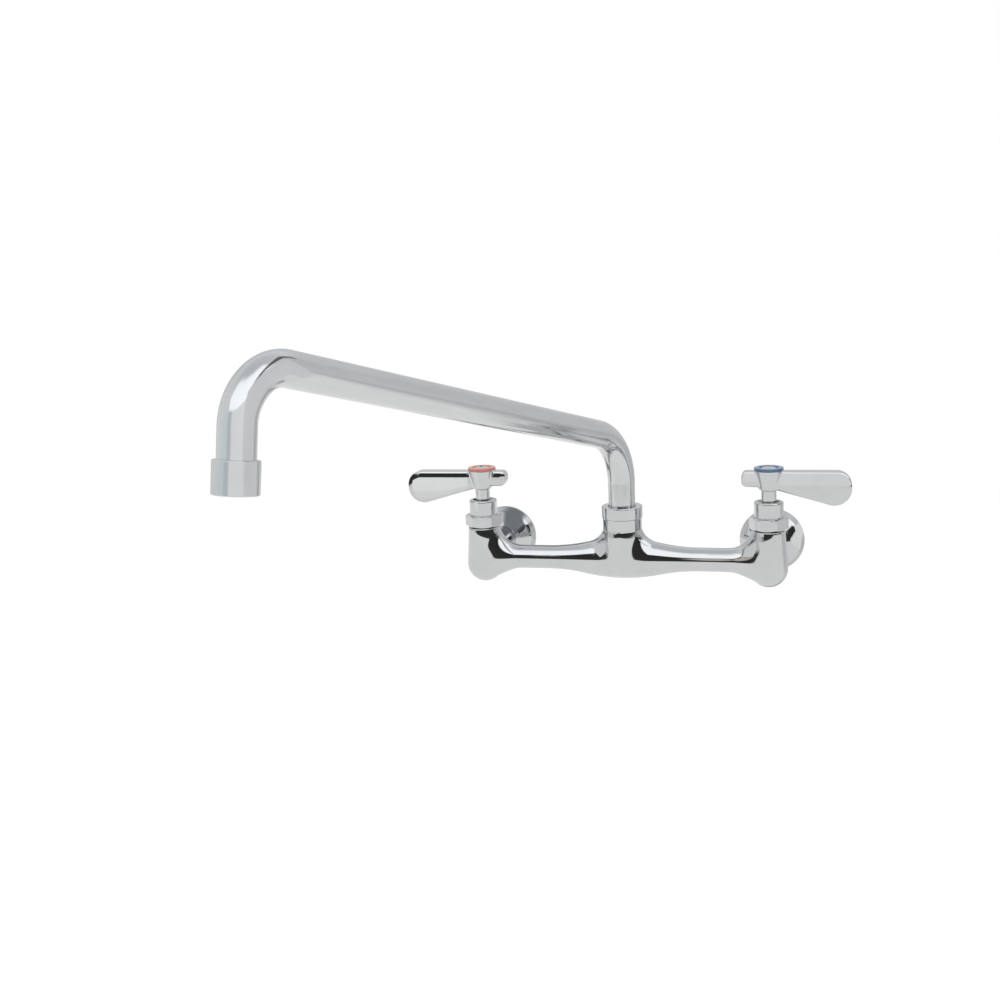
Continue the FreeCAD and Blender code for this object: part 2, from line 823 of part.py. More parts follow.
def save_spout():
    aerator = {
        "aerator_housing": aerator_housing(),
        "aerator_screen": aerator_screen(),
        "aerator_insert": aerator_insert(),
        "aerator_gasket": aerator_gasket_ring(),
    }
    for solid in aerator.values():
        solid.rotate(Vector(), Vector(1, 0, 0), -outlet_tilt)
        solid.translate(centre_line["outlet"])
    pieces = {
        "spout_tube": spout_tube(),
        "spout_sleeve": spout_sleeve(),
        "spout_o_rings": spout_o_rings(),
        "swivel_washer": swivel_washer_ring(),
    }
    pieces.update(aerator)
    for piece, solid in pieces.items():
        solid.rotate(Vector(), Vector(0, 0, 1), -spout_swing)
        save(piece, on_axis(solid))


os.makedirs("parts", exist_ok=True)
save("faucet_body", on_axis(faucet_body()))
save("swivel_nut", on_axis(swivel_nut()))
save_valve("hot", -1)
save_valve("cold", 1)
save_spout()
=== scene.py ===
import math

import bpy
import numpy as np
from mathutils import Matrix


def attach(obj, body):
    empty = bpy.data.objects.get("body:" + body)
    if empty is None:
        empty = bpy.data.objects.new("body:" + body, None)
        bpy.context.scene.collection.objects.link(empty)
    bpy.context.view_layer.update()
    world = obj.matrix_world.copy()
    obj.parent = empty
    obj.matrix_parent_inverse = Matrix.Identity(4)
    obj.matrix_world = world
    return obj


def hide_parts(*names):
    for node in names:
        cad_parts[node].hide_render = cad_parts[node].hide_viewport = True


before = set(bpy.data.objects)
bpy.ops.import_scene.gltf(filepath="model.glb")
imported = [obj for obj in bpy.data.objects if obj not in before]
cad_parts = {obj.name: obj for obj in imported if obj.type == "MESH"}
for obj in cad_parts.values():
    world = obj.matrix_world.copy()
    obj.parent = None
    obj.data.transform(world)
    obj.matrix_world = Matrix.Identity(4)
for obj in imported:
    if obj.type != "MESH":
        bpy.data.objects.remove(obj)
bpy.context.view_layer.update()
mm = 0.001  # the dictionaries below are in millimetres and degrees
tiny = 1e-9  # keeps what is divided by away from zero
axisPlane = -66.6  # valves and spout stand this far in front of the wall
halfSpacing = 101.6
sides = {"Hot": -halfSpacing, "Cold": halfSpacing}

shot = {"place": (132.49, -920.31, 213.18), "azimuth": 14.54, "elevation": 11.01, "roll": 2.4,
        "lens": 44.61, "sensor": 36}


def addCamera():
    # looks along (-sin az cos el, cos az cos el, -sin el), then rolls about that line
    az, el, roll = np.radians([shot["azimuth"], shot["elevation"], shot["roll"]])
    ahead = np.array([-np.sin(az) * np.cos(el), np.cos(az) * np.cos(el), -np.sin(el)])
    right = np.array([np.cos(az), np.sin(az), 0])
    up = np.cross(right, ahead)
    place = np.eye(4)
    place[:3, 0] = np.cos(roll) * right - np.sin(roll) * up
    place[:3, 1] = np.sin(roll) * right + np.cos(roll) * up
    place[:3, 2] = -ahead
    place[:3, 3] = np.array(shot["place"]) * mm
    data = bpy.data.cameras.new("shotCamera")
    data.lens, data.sensor_width = shot["lens"], shot["sensor"]
    camera = bpy.data.objects.new("shotCamera", data)
    camera.matrix_world = Matrix(place.tolist())
    bpy.context.scene.collection.objects.link(camera)
    bpy.context.scene.camera = camera


addCamera()
bpy.context.scene.view_settings.view_transform = "Standard"
print("camera set")


# node helpers

def addNode(tree, kind, inputs=None, **settings):
    made = tree.nodes.new(kind)
    for key, value in settings.items():
        setattr(made, key, value)
    for key, value in (inputs or {}).items():
        if isinstance(value, bpy.types.NodeSocket):
            tree.links.new(value, made.inputs[key])
        else:
            made.inputs[key].default_value = value
    return made


def calc(tree, operation, first, second):
    return addNode(tree, "ShaderNodeMath", {0: first, 1: second}, operation=operation).outputs[0]


def rescale(tree, value, source, target=(0.0, 1.0), blend="LINEAR"):
    # a value carried from one range to another
    made = addNode(tree, "ShaderNodeMapRange", {"Value": value, "From Min": source[0], "From Max": source[1],
                   "To Min": target[0], "To Max": target[1]}, interpolation_type=blend)
    return made.outputs["Result"]


def mixShader(tree, share, first, second):
    return addNode(tree, "ShaderNodeMixShader", {0: share, 1: first.outputs[0], 2: second.outputs[0]})


# finishes: soft clouds and dried drops over a surface, as colour, roughness and height

wear = {"cloudDetail": 5.0, "cloudRoughness": 0.6, "cloudRange": (0.3, 0.7), "swellDetail": 2.0,
        "dropEdge": (0.16, 0.3), "cloudShare": 0.8, "dropShare": 0.35}
finishValues = ("Cloud Scale", "Drop Scale", "Drops", "Low", "High")
finishColours = ("Light", "Dark")


def buildFinishGroup():
    tree = bpy.data.node_groups.new("surfaceFinish", "ShaderNodeTree")
    face = tree.interface
    face.new_socket("Vector", in_out="INPUT", socket_type="NodeSocketVector")
    for name in finishValues:
        face.new_socket(name, in_out="INPUT", socket_type="NodeSocketFloat")
    for name in finishColours:
        face.new_socket(name, in_out="INPUT", socket_type="NodeSocketColor")
    face.new_socket("Colour", in_out="OUTPUT", socket_type="NodeSocketColor")
    face.new_socket("Roughness", in_out="OUTPUT", socket_type="NodeSocketFloat")
    face.new_socket("Height", in_out="OUTPUT", socket_type="NodeSocketFloat")
    given = addNode(tree, "NodeGroupInput").outputs
    cloud = addNode(tree, "ShaderNodeTexNoise", {"Vector": given["Vector"], "Scale": given["Cloud Scale"],
                    "Detail": wear["cloudDetail"], "Roughness": wear["cloudRoughness"]}).outputs["Fac"]
    cloud = rescale(tree, cloud, wear["cloudRange"])
    cells = addNode(tree, "ShaderNodeTexVoronoi", {"Vector": given["Vector"], "Scale": given["Drop Scale"]})
    drop = rescale(tree, cells.outputs["Distance"], wear["dropEdge"], (1.0, 0.0), "SMOOTHSTEP")
    chosen = addNode(tree, "ShaderNodeSeparateColor", {"Color": cells.outputs["Color"]}).outputs[0]
    drop = calc(tree, "MULTIPLY", drop, calc(tree, "LESS_THAN", chosen, given["Drops"]))
    both = calc(tree, "ADD", calc(tree, "MULTIPLY", cloud, wear["cloudShare"]),
                calc(tree, "MULTIPLY", drop, wear["dropShare"]))
    rough = rescale(tree, both, (0.0, 1.0), (given["Low"], given["High"]))
    tint = addNode(tree, "ShaderNodeMix", {0: both, 6: given["Light"], 7: given["Dark"]}, data_type="RGBA")
    swell = addNode(tree, "ShaderNodeTexNoise", {"Vector": given["Vector"], "Scale": given["Cloud Scale"],
                    "Detail": wear["swellDetail"]}).outputs["Fac"]
    out = addNode(tree, "NodeGroupOutput")
    tree.links.new(tint.outputs[2], out.inputs["Colour"])
    tree.links.new(rough, out.inputs["Roughness"])
    tree.links.new(swell, out.inputs["Height"])
    return tree


finishGroup = buildFinishGroup()


def makeFinish(name, look):
    # one Principled surface whose colour, roughness and bump come from the finish group
    made = bpy.data.materials.new(name)
    made.use_nodes = True
    tree = made.node_tree
    shader = tree.nodes["Principled BSDF"]
    for key, value in look.get("shader", {}).items():
        shader.inputs[key].default_value = value
    if "along" in look:  # pattern carried along the piece by its own attribute
        grain = addNode(tree, "ShaderNodeAttribute", attribute_name="tubeGrain").outputs["Vector"]
        stretch = addNode(tree, "ShaderNodeMapping", {"Vector": grain, "Scale": (1, 1, look["along"])})
        source = stretch.outputs["Vector"]
    else:
        source = addNode(tree, "ShaderNodeTexCoord").outputs["Object"]
    group = addNode(tree, "ShaderNodeGroup", node_tree=finishGroup)
    tree.links.new(source, group.inputs["Vector"])
    for key in finishValues:
        group.inputs[key].default_value = look[key]
    for key in finishColours:
        group.inputs[key].default_value = (*look[key], 1)
    bump = addNode(tree, "ShaderNodeBump", {"Height": group.outputs["Height"], "Strength": look["bump"],
                   "Distance": look["depth"] * mm})
    tree.links.new(group.outputs["Colour"], shader.inputs["Base Color"])
    tree.links.new(group.outputs["Roughness"], shader.inputs["Roughness"])
    tree.links.new(bump.outputs["Normal"], shader.inputs["Normal"])
    return made


metal, coated = {"Metallic": 1.0}, {"Coat Weight": 0.6}
finishes = {
    "castChrome": {"Light": (0.61, 0.615, 0.62), "Dark": (0.56, 0.565, 0.57), "Cloud Scale": 55,
                   "Drop Scale": 170, "Drops": 0.12, "Low": 0.035, "High": 0.09, "bump": 0.12,
                   "depth": 0.06, "shader": metal},
    "tubeChrome": {"Light": (0.655, 0.66, 0.665), "Dark": (0.585, 0.59, 0.595), "Cloud Scale": 130,
                   "Drop Scale": 240, "Drops": 0.1, "Low": 0.07, "High": 0.16, "bump": 0.18,
                   "depth": 0.06, "along": 0.22, "shader": metal},
    "satinChrome": {"Light": (0.62, 0.625, 0.63), "Dark": (0.57, 0.575, 0.58), "Cloud Scale": 90,
                    "Drop Scale": 260, "Drops": 0.15, "Low": 0.1, "High": 0.2, "bump": 0.15,
                    "depth": 0.05, "shader": metal},
    "screenSteel": {"Light": (0.5, 0.5, 0.49), "Dark": (0.36, 0.36, 0.35), "Cloud Scale": 400,
                    "Drop Scale": 500, "Drops": 0.2, "Low": 0.22, "High": 0.4, "bump": 0.2,
                    "depth": 0.03, "shader": metal},
    "rawBrass": {"Light": (0.66, 0.47, 0.2), "Dark": (0.5, 0.34, 0.14), "Cloud Scale": 160,
                 "Drop Scale": 300, "Drops": 0.3, "Low": 0.2, "High": 0.38, "bump": 0.2,
                 "depth": 0.04, "shader": metal},
    "blackRubber": {"Light": (0.03, 0.03, 0.031), "Dark": (0.016, 0.016, 0.016), "Cloud Scale": 300,
                    "Drop Scale": 700, "Drops": 0.2, "Low": 0.55, "High": 0.75, "bump": 0.3, "depth": 0.05},
    "redFibre": {"Light": (0.34, 0.1, 0.06), "Dark": (0.2, 0.06, 0.04), "Cloud Scale": 600,
                 "Drop Scale": 900, "Drops": 0.4, "Low": 0.7, "High": 0.9, "bump": 0.5, "depth": 0.08},
    "greyFibre": {"Light": (0.16, 0.16, 0.155), "Dark": (0.1, 0.1, 0.095), "Cloud Scale": 600,
                  "Drop Scale": 900, "Drops": 0.4, "Low": 0.6, "High": 0.85, "bump": 0.5, "depth": 0.08},
    "whiteCeramic": {"Light": (0.82, 0.81, 0.77), "Dark": (0.74, 0.73, 0.69), "Cloud Scale": 200,
                     "Drop Scale": 600, "Drops": 0.1, "Low": 0.12, "High": 0.2, "bump": 0.1, "depth": 0.02},
    "whiteAcetal": {"Light": (0.78, 0.78, 0.75), "Dark": (0.68, 0.68, 0.65), "Cloud Scale": 260,
                    "Drop Scale": 500, "Drops": 0.2, "Low": 0.35, "High": 0.5, "bump": 0.2, "depth": 0.03},
    "hotEnamel": {"Light": (0.53, 0.17, 0.12), "Dark": (0.46, 0.13, 0.09), "Cloud Scale": 240,
                  "Drop Scale": 420, "Drops": 0.15, "Low": 0.12, "High": 0.24, "bump": 0.15,
                  "depth": 0.05, "shader": coated},
    "coldEnamel": {"Light": (0.05, 0.11, 0.23), "Dark": (0.04, 0.09, 0.19), "Cloud Scale": 240,
                   "Drop Scale": 420, "Drops": 0.15, "Low": 0.12, "High": 0.24, "bump": 0.15,
                   "depth": 0.05, "shader": coated},
}
finish = {name: makeFinish(name, look) for name, look in finishes.items()}
print("finishes:", len(finish))


# surface helpers

def ringAngles(turns):
    return np.linspace(0, 2 * np.pi, turns, endpoint=False)


def roundedLoop(corners, steps=10):
    # closed counterclockwise line through (u, v, rounding) corners; each corner is an arc,
    # centre + rounding (cos a, sin a)
    flat = np.array(corners, float)
    point, rounding = flat[:, :2], flat[:, 2]
    toBefore = np.roll(point, 1, 0) - point
    toAfter = np.roll(point, -1, 0) - point
    toBefore /= np.linalg.norm(toBefore, axis=1)[:, None]
    toAfter /= np.linalg.norm(toAfter, axis=1)[:, None]
    half = np.arccos(np.clip((toBefore * toAfter).sum(1), -1, 1)) / 2
    inward = toBefore + toAfter
    inward /= np.linalg.norm(inward, axis=1)[:, None]
    centre = point + inward * (rounding / np.sin(half))[:, None]
    first = np.arctan2(toBefore[:, 0], -toBefore[:, 1])
    last = np.arctan2(-toAfter[:, 0], toAfter[:, 1])
    turn = (last - first + np.pi) % (2 * np.pi) - np.pi
    angle = first[:, None] + turn[:, None] * np.linspace(0, 1, steps + 1)
    normal = np.stack([np.cos(angle), np.sin(angle)], -1)
    line = centre[:, None] + normal * (np.sign(turn) * rounding)[:, None, None]
    return line.reshape(-1, 2), normal.reshape(-1, 2)


def densified(line, gap):
    # the same closed line with points no further apart than gap
    closed = np.concatenate([line, line[:1]])
    reach = np.concatenate([[0], np.cumsum(np.linalg.norm(np.diff(closed, axis=0), axis=1))])
    even = np.arange(0, reach[-1], gap)
    keep = np.unique(np.round(np.concatenate([reach[:-1], even]), 4))
    return np.stack([np.interp(keep, reach, closed[:, 0]), np.interp(keep, reach, closed[:, 1])], -1)


def gridQuads(rows, cols):
    # quads of a grid that closes on itself both ways
    a, b = np.meshgrid(np.arange(rows), np.arange(cols), indexing="ij")
    up, right = (a + 1) % rows, (b + 1) % cols
    return np.stack([a * cols + b, a * cols + right, up * cols + right, up * cols + b], -1).reshape(-1, 4)


def gridNormals(points):
    # cross product of the differences to the neighbours along the columns and the rows
    along = np.roll(points, -1, 0) - np.roll(points, 1, 0)
    across = np.roll(points, -1, 1) - np.roll(points, 1, 1)
    normal = np.cross(across, along)
    return normal / np.maximum(np.linalg.norm(normal, axis=-1, keepdims=True), tiny)


def carried(radius, height, turns):
    # (r cos a, r sin a, z) for a column of radii and heights, or for a whole grid of them
    angle = ringAngles(turns)
    return np.stack(np.broadcast_arrays(radius * np.cos(angle), radius * np.sin(angle), height), -1)


def lathe(corners, turns=144, steps=10):
    # a rounded (r, z) line carried round the Z axis
    line, slope = roundedLoop(corners, steps)
    points = carried(line[:, :1], line[:, 1:], turns)
    normals = carried(slope[:, :1], slope[:, 1:], turns)
    return points, normals


def turnAbout(axis, degrees):
    return np.array(Matrix.Rotation(math.radians(degrees), 3, axis))


upright = np.eye(3)
wallward = turnAbout("X", 90)  # a piece drawn up from the wall: its height runs along -Y
onNeck = (upright, (0, axisPlane, 0))


def chromed(node, body="faucet"):
    return {"finish": "castChrome", "body": body, "slot": "chrome", "nodes": [node]}


def addPiece(name, surface, place, look):
    # surface is (points, normals) on a closed grid, or (points, normals, quads); place is (turn, offset)
    points, normals = surface[:2]
    quads = surface[2] if len(surface) > 2 else gridQuads(*points.shape[:2])
    turn, offset = place
    points = (points.reshape(-1, 3) @ turn.T + np.array(offset, float)) * mm
    normals = normals.reshape(-1, 3) @ turn.T
    mesh = bpy.data.meshes.new(name)
    mesh.vertices.add(len(points))
    mesh.vertices.foreach_set("co", points.astype(np.float32).ravel())
    mesh.loops.add(quads.size)
    mesh.loops.foreach_set("vertex_index", quads.astype(np.int32).ravel())
    mesh.polygons.add(len(quads))
    mesh.polygons.foreach_set("loop_start", np.arange(0, quads.size, 4, dtype=np.int32))
    mesh.update(calc_edges=True)
    mesh.polygons.foreach_set("use_smooth", np.ones(len(quads), dtype=bool))
    mesh.normals_split_custom_set_from_vertices(normals.astype(np.float32))
    mesh.materials.append(finish[look["finish"]])
    piece = bpy.data.objects.new(name, mesh)
    bpy.context.scene.collection.objects.link(piece)
    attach(piece, look["body"])
    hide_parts(*look["nodes"])
    print("piece:", name, len(quads), "faces")
    return piece


def loopDistance(u, v, loop):
    # signed distance from points (u, v) to a closed line, negative inside
    best = np.full(u.shape, np.inf)
    crossings = np.zeros(u.shape, dtype=bool)
    for (au, av), (bu, bv) in zip(loop, np.roll(loop, -1, 0)):
        du, dv = bu - au, bv - av
        size = du * du + dv * dv
        if size < tiny:
            continue
        t = np.clip(((u - au) * du + (v - av) * dv) / size, 0, 1)
        best = np.minimum(best, (u - au - t * du) ** 2 + (v - av - t * dv) ** 2)
        if av != bv:
            crossings ^= ((av > v) != (bv > v)) & (u < du * (v - av) / dv + au)
    return np.sqrt(best) * np.where(crossings, -1, 1)


def roundUnion(a, b, r):
    # union of two distances with a fillet of radius r between them
    return np.maximum(r, np.minimum(a, b)) - np.hypot(np.maximum(r - a, 0), np.maximum(r - b, 0))


def roundCommon(a, b, r):
    # common part of two distances with its edge rounded by r
    return np.minimum(-r, np.maximum(a, b)) + np.hypot(np.maximum(r + a, 0), np.maximum(r + b, 0))


net = {"slab": 24, "probe": 0.02, "passes": 5, "leastSlope": 0.05, "stride": 0.6}


def fieldSlope(field, p, h):
    # central differences of a distance field
    steps = np.eye(3) * h
    return np.stack([(field(p + s) - field(p - s)) / (2 * h) for s in steps], -1)


def fieldSurface(field, look):
    # zero level of a distance field: a point in every crossed grid cell, a quad round every crossed
    # grid edge, and each point then slides down the field's slope onto the level
    cell = look["cell"]
    axes = [np.arange(a, b + cell, cell) for a, b in zip(look["low"], look["high"])]
    slabs = []
    for x in np.array_split(axes[0], max(1, len(axes[0]) // net["slab"])):
        grid = np.stack(np.meshgrid(x, axes[1], axes[2], indexing="ij"), -1)
        slabs.append(field(grid.reshape(-1, 3)).reshape(grid.shape[:3]))
    inside = np.concatenate(slabs) < 0
    corner = [inside[i:inside.shape[0] - 1 + i, j:inside.shape[1] - 1 + j, k:inside.shape[2] - 1 + k]
              for i in (0, 1) for j in (0, 1) for k in (0, 1)]
    count = np.sum(corner, axis=0)
    crossed = (count > 0) & (count < len(corner))
    cellId = np.full(crossed.shape, -1)
    cellId[crossed] = np.arange(crossed.sum())
    points = np.stack([axes[n][index] + cell / 2 for n, index in enumerate(np.nonzero(crossed))], -1)
    quads = []
    for order in ((0, 1, 2), (1, 2, 0), (2, 0, 1)):
        near, ids = np.transpose(inside, order), np.transpose(cellId, order)
        edge = near[:-1, 1:-1, 1:-1] != near[1:, 1:-1, 1:-1]
        i, j, k = np.nonzero(edge)
        ring = np.stack([ids[i, j, k], ids[i, j + 1, k], ids[i, j + 1, k + 1], ids[i, j, k + 1]], -1)
        facing = near[i, j + 1, k + 1]
        quads.append(np.where(facing[:, None], ring, ring[:, ::-1]))
    for _ in range(net["passes"]):
        slope = fieldSlope(field, points, net["probe"])
        size = np.maximum((slope ** 2).sum(1), net["leastSlope"])
        move = slope * (field(points) / size)[:, None]
        reach = np.linalg.norm(move, axis=1)
        points = points - move * np.minimum(1, net["stride"] * cell / np.maximum(reach, tiny))[:, None]
    normal = fieldSlope(field, points, look["soften"])  # over a wider step, so that blends mirror softly
    normal /= np.maximum(np.linalg.norm(normal, axis=1), tiny)[:, None]
    return points, normal, np.concatenate(quads)


# cast body: cross tube with a swelling, two valve columns with ball tips, two inlet legs, spout neck

casting = {
    "tubeRadius": 8.5, "tubeShort": 5.0, "bossRadius": 14.4, "bossHalf": 54.0, "bossDepth": 0.5,
    "frontDraft": 0.2, "leastFillet": 0.01, "rim": 0.5, "midway": 50.0,
    "legFillet": 2.2, "legBore": 6.0, "legBoreFrom": 14.0, "legZone": (75.0, -4.0),
    "cartridgeBore": 9.1, "cartridgeFloor": -1.0, "neckBore": 11.0, "neckFloor": 11.65,
    "low": (-116.2, -16.5, -20.3), "high": (116.2, 54, 24), "cell": 0.68, "soften": 0.5,
    "leg": ((0, 0, 0.01), (12, 0, 0.01), (12, 5, 3), (10, 16, 14), (10, 45.6, 0.4),
            (7.8, 45.6, 0.1), (7.8, 52.1, 0.4), (0, 52.1, 0.01)),
    "column": {"top": 22.3, "foot": 18.6, "radius": 11.3, "draft": 4.0, "fillet": 16.0, "narrow": 0.6,
               "bow": 0.016, "bowDrop": 5.4, "slew": -1.0, "powers": (6, 30)},
    "neck": {"top": 21.9, "foot": 14.4, "ball": 15.0, "draft": 3.8, "fillet": 10.5, "narrow": 0.8,
             "bow": 0.018, "bowDrop": 4.4, "slew": 0.6, "powers": (8, 8)},
}
swell = casting["bossRadius"] - casting["tubeRadius"]
swellArc = (casting["bossHalf"] ** 2 + swell ** 2) / (4 * swell)  # radius of the swelling's two equal arcs
legLoop = roundedLoop(casting["leg"])[0]


def tipBall(look):
    # ball at the foot of a column, whose tangent cone has the given radius at the top
    slant = math.tan(math.radians(look["draft"]))
    return (look["radius"] + (look["top"] + look["foot"]) * slant) / (math.hypot(1, slant) + slant)


casting["column"]["ball"] = tipBall(casting["column"])


def crossTubeField(x, y, z):
    # distance to the cross tube: two arcs of radius swellArc, then a straight cylinder; the swelling
    # is shallower in depth than in height, so y is stretched by tall / deep
    radius, boss, reach = casting["tubeRadius"], casting["bossRadius"], casting["bossHalf"]
    low, high, half = boss - swellArc, radius + swellArc, reach / 2
    tall = np.where(x < half, low + np.sqrt(swellArc ** 2 - np.minimum(x, half) ** 2),
                    high - np.sqrt(swellArc ** 2 - np.clip(reach - x, 0, half) ** 2))
    deep = radius + casting["bossDepth"] * (tall - radius)
    r = np.hypot(y * tall / deep, z)
    share = half / ((boss + radius) / 2 - low)
    belly = np.hypot(x, r - low) - swellArc
    throat = swellArc - np.hypot(x - reach, r - high)
    straight = np.maximum(r - radius, x - halfSpacing + casting["tubeShort"])
    return np.where(x < share * (r - low), belly, np.where(x < reach, throat, straight))


def joinedColumn(tube, x, y, z, look):
    # a cone over a ball, with less draft in front than at the sides; under its top it leans back by
    # bow (height) ^ 2, from a level that slew lowers on one side, fading round it as (y / r) ^ power;
    # its fillet to the tube narrows where the two run alike: fillet (1 - cos of the angle) ^ narrow
    draft = math.radians(look["draft"])
    s, c = math.sin(draft), math.cos(draft)
    r, up = np.maximum(np.hypot(x, y), tiny), z - (look["ball"] - look["foot"])
    span, across = np.hypot(r, up), np.maximum(np.hypot(y, z), tiny)
    lean = s * (1 - (1 - casting["frontDraft"]) * (y / r) ** 2)
    cone = up * c > r * lean
    height = np.maximum(z - look["top"] + look["bowDrop"] * (1 + look["slew"] * x / r), 0)
    leanBack = look["bow"] * height ** 2 * (y / r) ** np.where(look["slew"] * x > 0, *look["powers"])
    column = np.where(cone, r * c + up * lean + leanBack, span) - look["ball"]
    alike = np.where(cone, (y * y / r * c + z * lean) / across, (y * y + z * up) / (across * span))
    fillet = look["fillet"] * np.clip(1 - alike, casting["leastFillet"], 1) ** look["narrow"]
    return roundUnion(tube, column, fillet)


def castingField(p):
    # both halves are alike, so x is folded onto the cold side; the shapes run together in fillets,
    # then the bores are cut
    x, y, z = np.abs(p[:, 0]), p[:, 1], p[:, 2]
    side, middle = x - halfSpacing, x < casting["midway"]
    tube = crossTubeField(x, y, z)
    f = np.where(middle, joinedColumn(tube, x, y, z, casting["neck"]),
                 joinedColumn(tube, side, y, z, casting["column"]))
    legX, legY = casting["legZone"]
    back = np.nonzero((y > legY) & (x > legX))[0]
    leg = loopDistance(np.hypot(side[back], z[back]), y[back], legLoop)
    f[back] = roundUnion(f[back], leg, casting["legFillet"])
    top = np.where(middle, casting["neck"]["top"], casting["column"]["top"])
    f = roundCommon(f, z - top, casting["rim"])
    legBore = np.maximum(np.hypot(side, z) - casting["legBore"], casting["legBoreFrom"] - y)
    cartridge = np.maximum(np.hypot(side, y) - casting["cartridgeBore"], casting["cartridgeFloor"] - z)
    socket = np.maximum(np.hypot(x, y) - casting["neckBore"], casting["neckFloor"] - z)
    return np.maximum(f, -np.minimum(np.minimum(legBore, cartridge), socket))


addPiece("castBody", fieldSurface(castingField, casting), onNeck, chromed("faucet_body"))

# collar on the neck, with a plain band where the thread runs and the socket that the nut hides
neckCollar = {"corners": ((11, 21.5, 0.1), (13.9, 21.5, 0.3), (13.9, 30, 0.4), (13, 30, 0.1),
                          (13, 34.55, 0.3), (11, 34.55, 0.1))}
addPiece("neckCollar", lathe(neckCollar["corners"]), onNeck, chromed("faucet_body"))

swivelNut = {"corners": ((13.1, 30, 0.1), (14.5, 30, 0.4), (14.5, 38.5, 1.0), (9.825, 38.5, 0.4),
                         (9.825, 37.3, 0.1), (13.1, 37.3, 0.1))}
addPiece("swivelNut", lathe(swivelNut["corners"]), onNeck, chromed("swivel_nut"))


# wall flanges: turned domes with a cut pipe thread inside, 14 threads to the inch

wallFlange = {
    "corners": ((9.6, 0, 0.4), (23.6, 0, 0.4), (23.6, 2.5, 0.6), (20.6, 7.6, 7.6), (13.5, 12.4, 2.5),
                (10.4, 13.6, 0.5), (10.4, 21, 0.4), (7.9, 21, 0.2), (7.9, 13, 0.1), (6.3, 13, 0.2),
                (6.3, 11, 0.2), (9.6, 11, 0.2)),
    "turns": 160, "steps": 8, "boreRows": (10.75, 0.45, 96), "pitch": 1.814, "threadDepth": 1.1,
    "threadRadius": 9.3, "threadEnds": (0.3, 10.9), "runOut": 0.8, "endCut": 0.3, "flank": (1.3, 0.15)}


def flangeSurface():
    # the turned loop, closed by a bore whose radius follows the helix z / pitch - a / 2 pi
    turns = wallFlange["turns"]
    points, normals = lathe(wallFlange["corners"], turns, wallFlange["steps"])
    z = np.linspace(*wallFlange["boreRows"])[:, None]
    wave = np.abs((z / wallFlange["pitch"] - ringAngles(turns) / (2 * np.pi)) % 1 * 2 - 1)
    bottom, top = wallFlange["threadEnds"]
    full = np.clip(np.minimum(z - bottom, top - z) / wallFlange["runOut"], 0, 1)
    steep, crest = wallFlange["flank"]
    groove = full * wallFlange["threadDepth"] * np.clip(wave * steep - crest, 0, 1)
    radius = wallFlange["threadRadius"] + wallFlange["endCut"] * (1 - full) + groove
    whole = np.concatenate([points, carried(radius, z, turns)])
    return whole, np.concatenate([normals, gridNormals(whole)[len(points):]])


for name, x in sides.items():
    addPiece("wallFlange" + name, flangeSurface(), (wallward, (x, 0, 0)),
             chromed("wall_flange_" + name.lower()))


# bonnets: hex collar under a round barrel, one turned line whose radius the hex cuts back

bonnet = {
    "corners": ((5.25, 9, 0.1), (8.9, 9, 0.3), (8.9, 22.9, 0.1), (11.9, 22.9, 0.15), (13.74, 23.96, 0.3),
                (13.74, 30.34, 0.3), (11.9, 31.4, 0.3), (10, 31.4, 0.4), (10, 42.2, 1.2), (7.4, 42.2, 0.2),
                (7.4, 41, 0.1), (5.25, 41, 0.15)),
    "turns": 216, "gap": 0.36, "flats": 23.8, "flatCount": 6, "turn": {"Hot": 9.0, "Cold": -7.0},
    "corner": 60, "edge": 7.0}


def bonnetSurface(turn):
    # r = soft minimum of the turned radius and the hex, whose radius is
    # apothem / (sum of cos^n)^(1/n) over its flats
    line = densified(roundedLoop(bonnet["corners"])[0], bonnet["gap"])
    step = 360 / bonnet["flatCount"]
    facing = np.radians(turn + step / 2 + step * np.arange(bonnet["flatCount"]))
    share = np.clip(np.cos(ringAngles(bonnet["turns"])[:, None] - facing), 0, 1) ** bonnet["corner"]
    hexRadius = bonnet["flats"] / 2 / share.sum(1) ** (1 / bonnet["corner"])
    k = bonnet["edge"]
    radius = -np.logaddexp(-k * line[:, :1], -k * hexRadius[None]) / k
    points = carried(radius, line[:, 1:], bonnet["turns"])
    return points, gridNormals(points)


for name, x in sides.items():
    addPiece("bonnet" + name, bonnetSurface(bonnet["turn"][name]), (upright, (x, axisPlane, 0)),
             chromed("bonnet_" + name.lower()))


# lever handles: tapered hub, blade and tail, as one polished casting

lever = {
    "level": 50.2, "turn": {"Hot": 180, "Cold": 0}, "cornerSteps": 14,
    "hub": ((0, 0, 0.01), (6.4, 0, 0.7), (10, 13.7, 0.5), (0, 13.7, 0.01)),
    "blade": ((0, 1.9, 0.01), (55, -13.8, 11.5), (55, 13.2, 10), (0, 13.2, 0.01)),
    "tail": ((0, 2, 0.01), (0, 13.2, 0.01), (-18.3, 13.2, 3.6), (-18.3, 2.8, 3.6)),
    "halfThickness": 5.5, "waist": (1.3, 9.0), "edge": (4.4, 1.5), "fillet": 0.9,
    "low": (-19.3, -11, -14.8), "high": (56, 11, 14.7), "cell": 0.4, "soften": 0.15}
hubLoop, bladeLoop, tailLoop = (roundedLoop(lever[part], lever["cornerSteps"])[0]
                                for part in ("hub", "blade", "tail"))


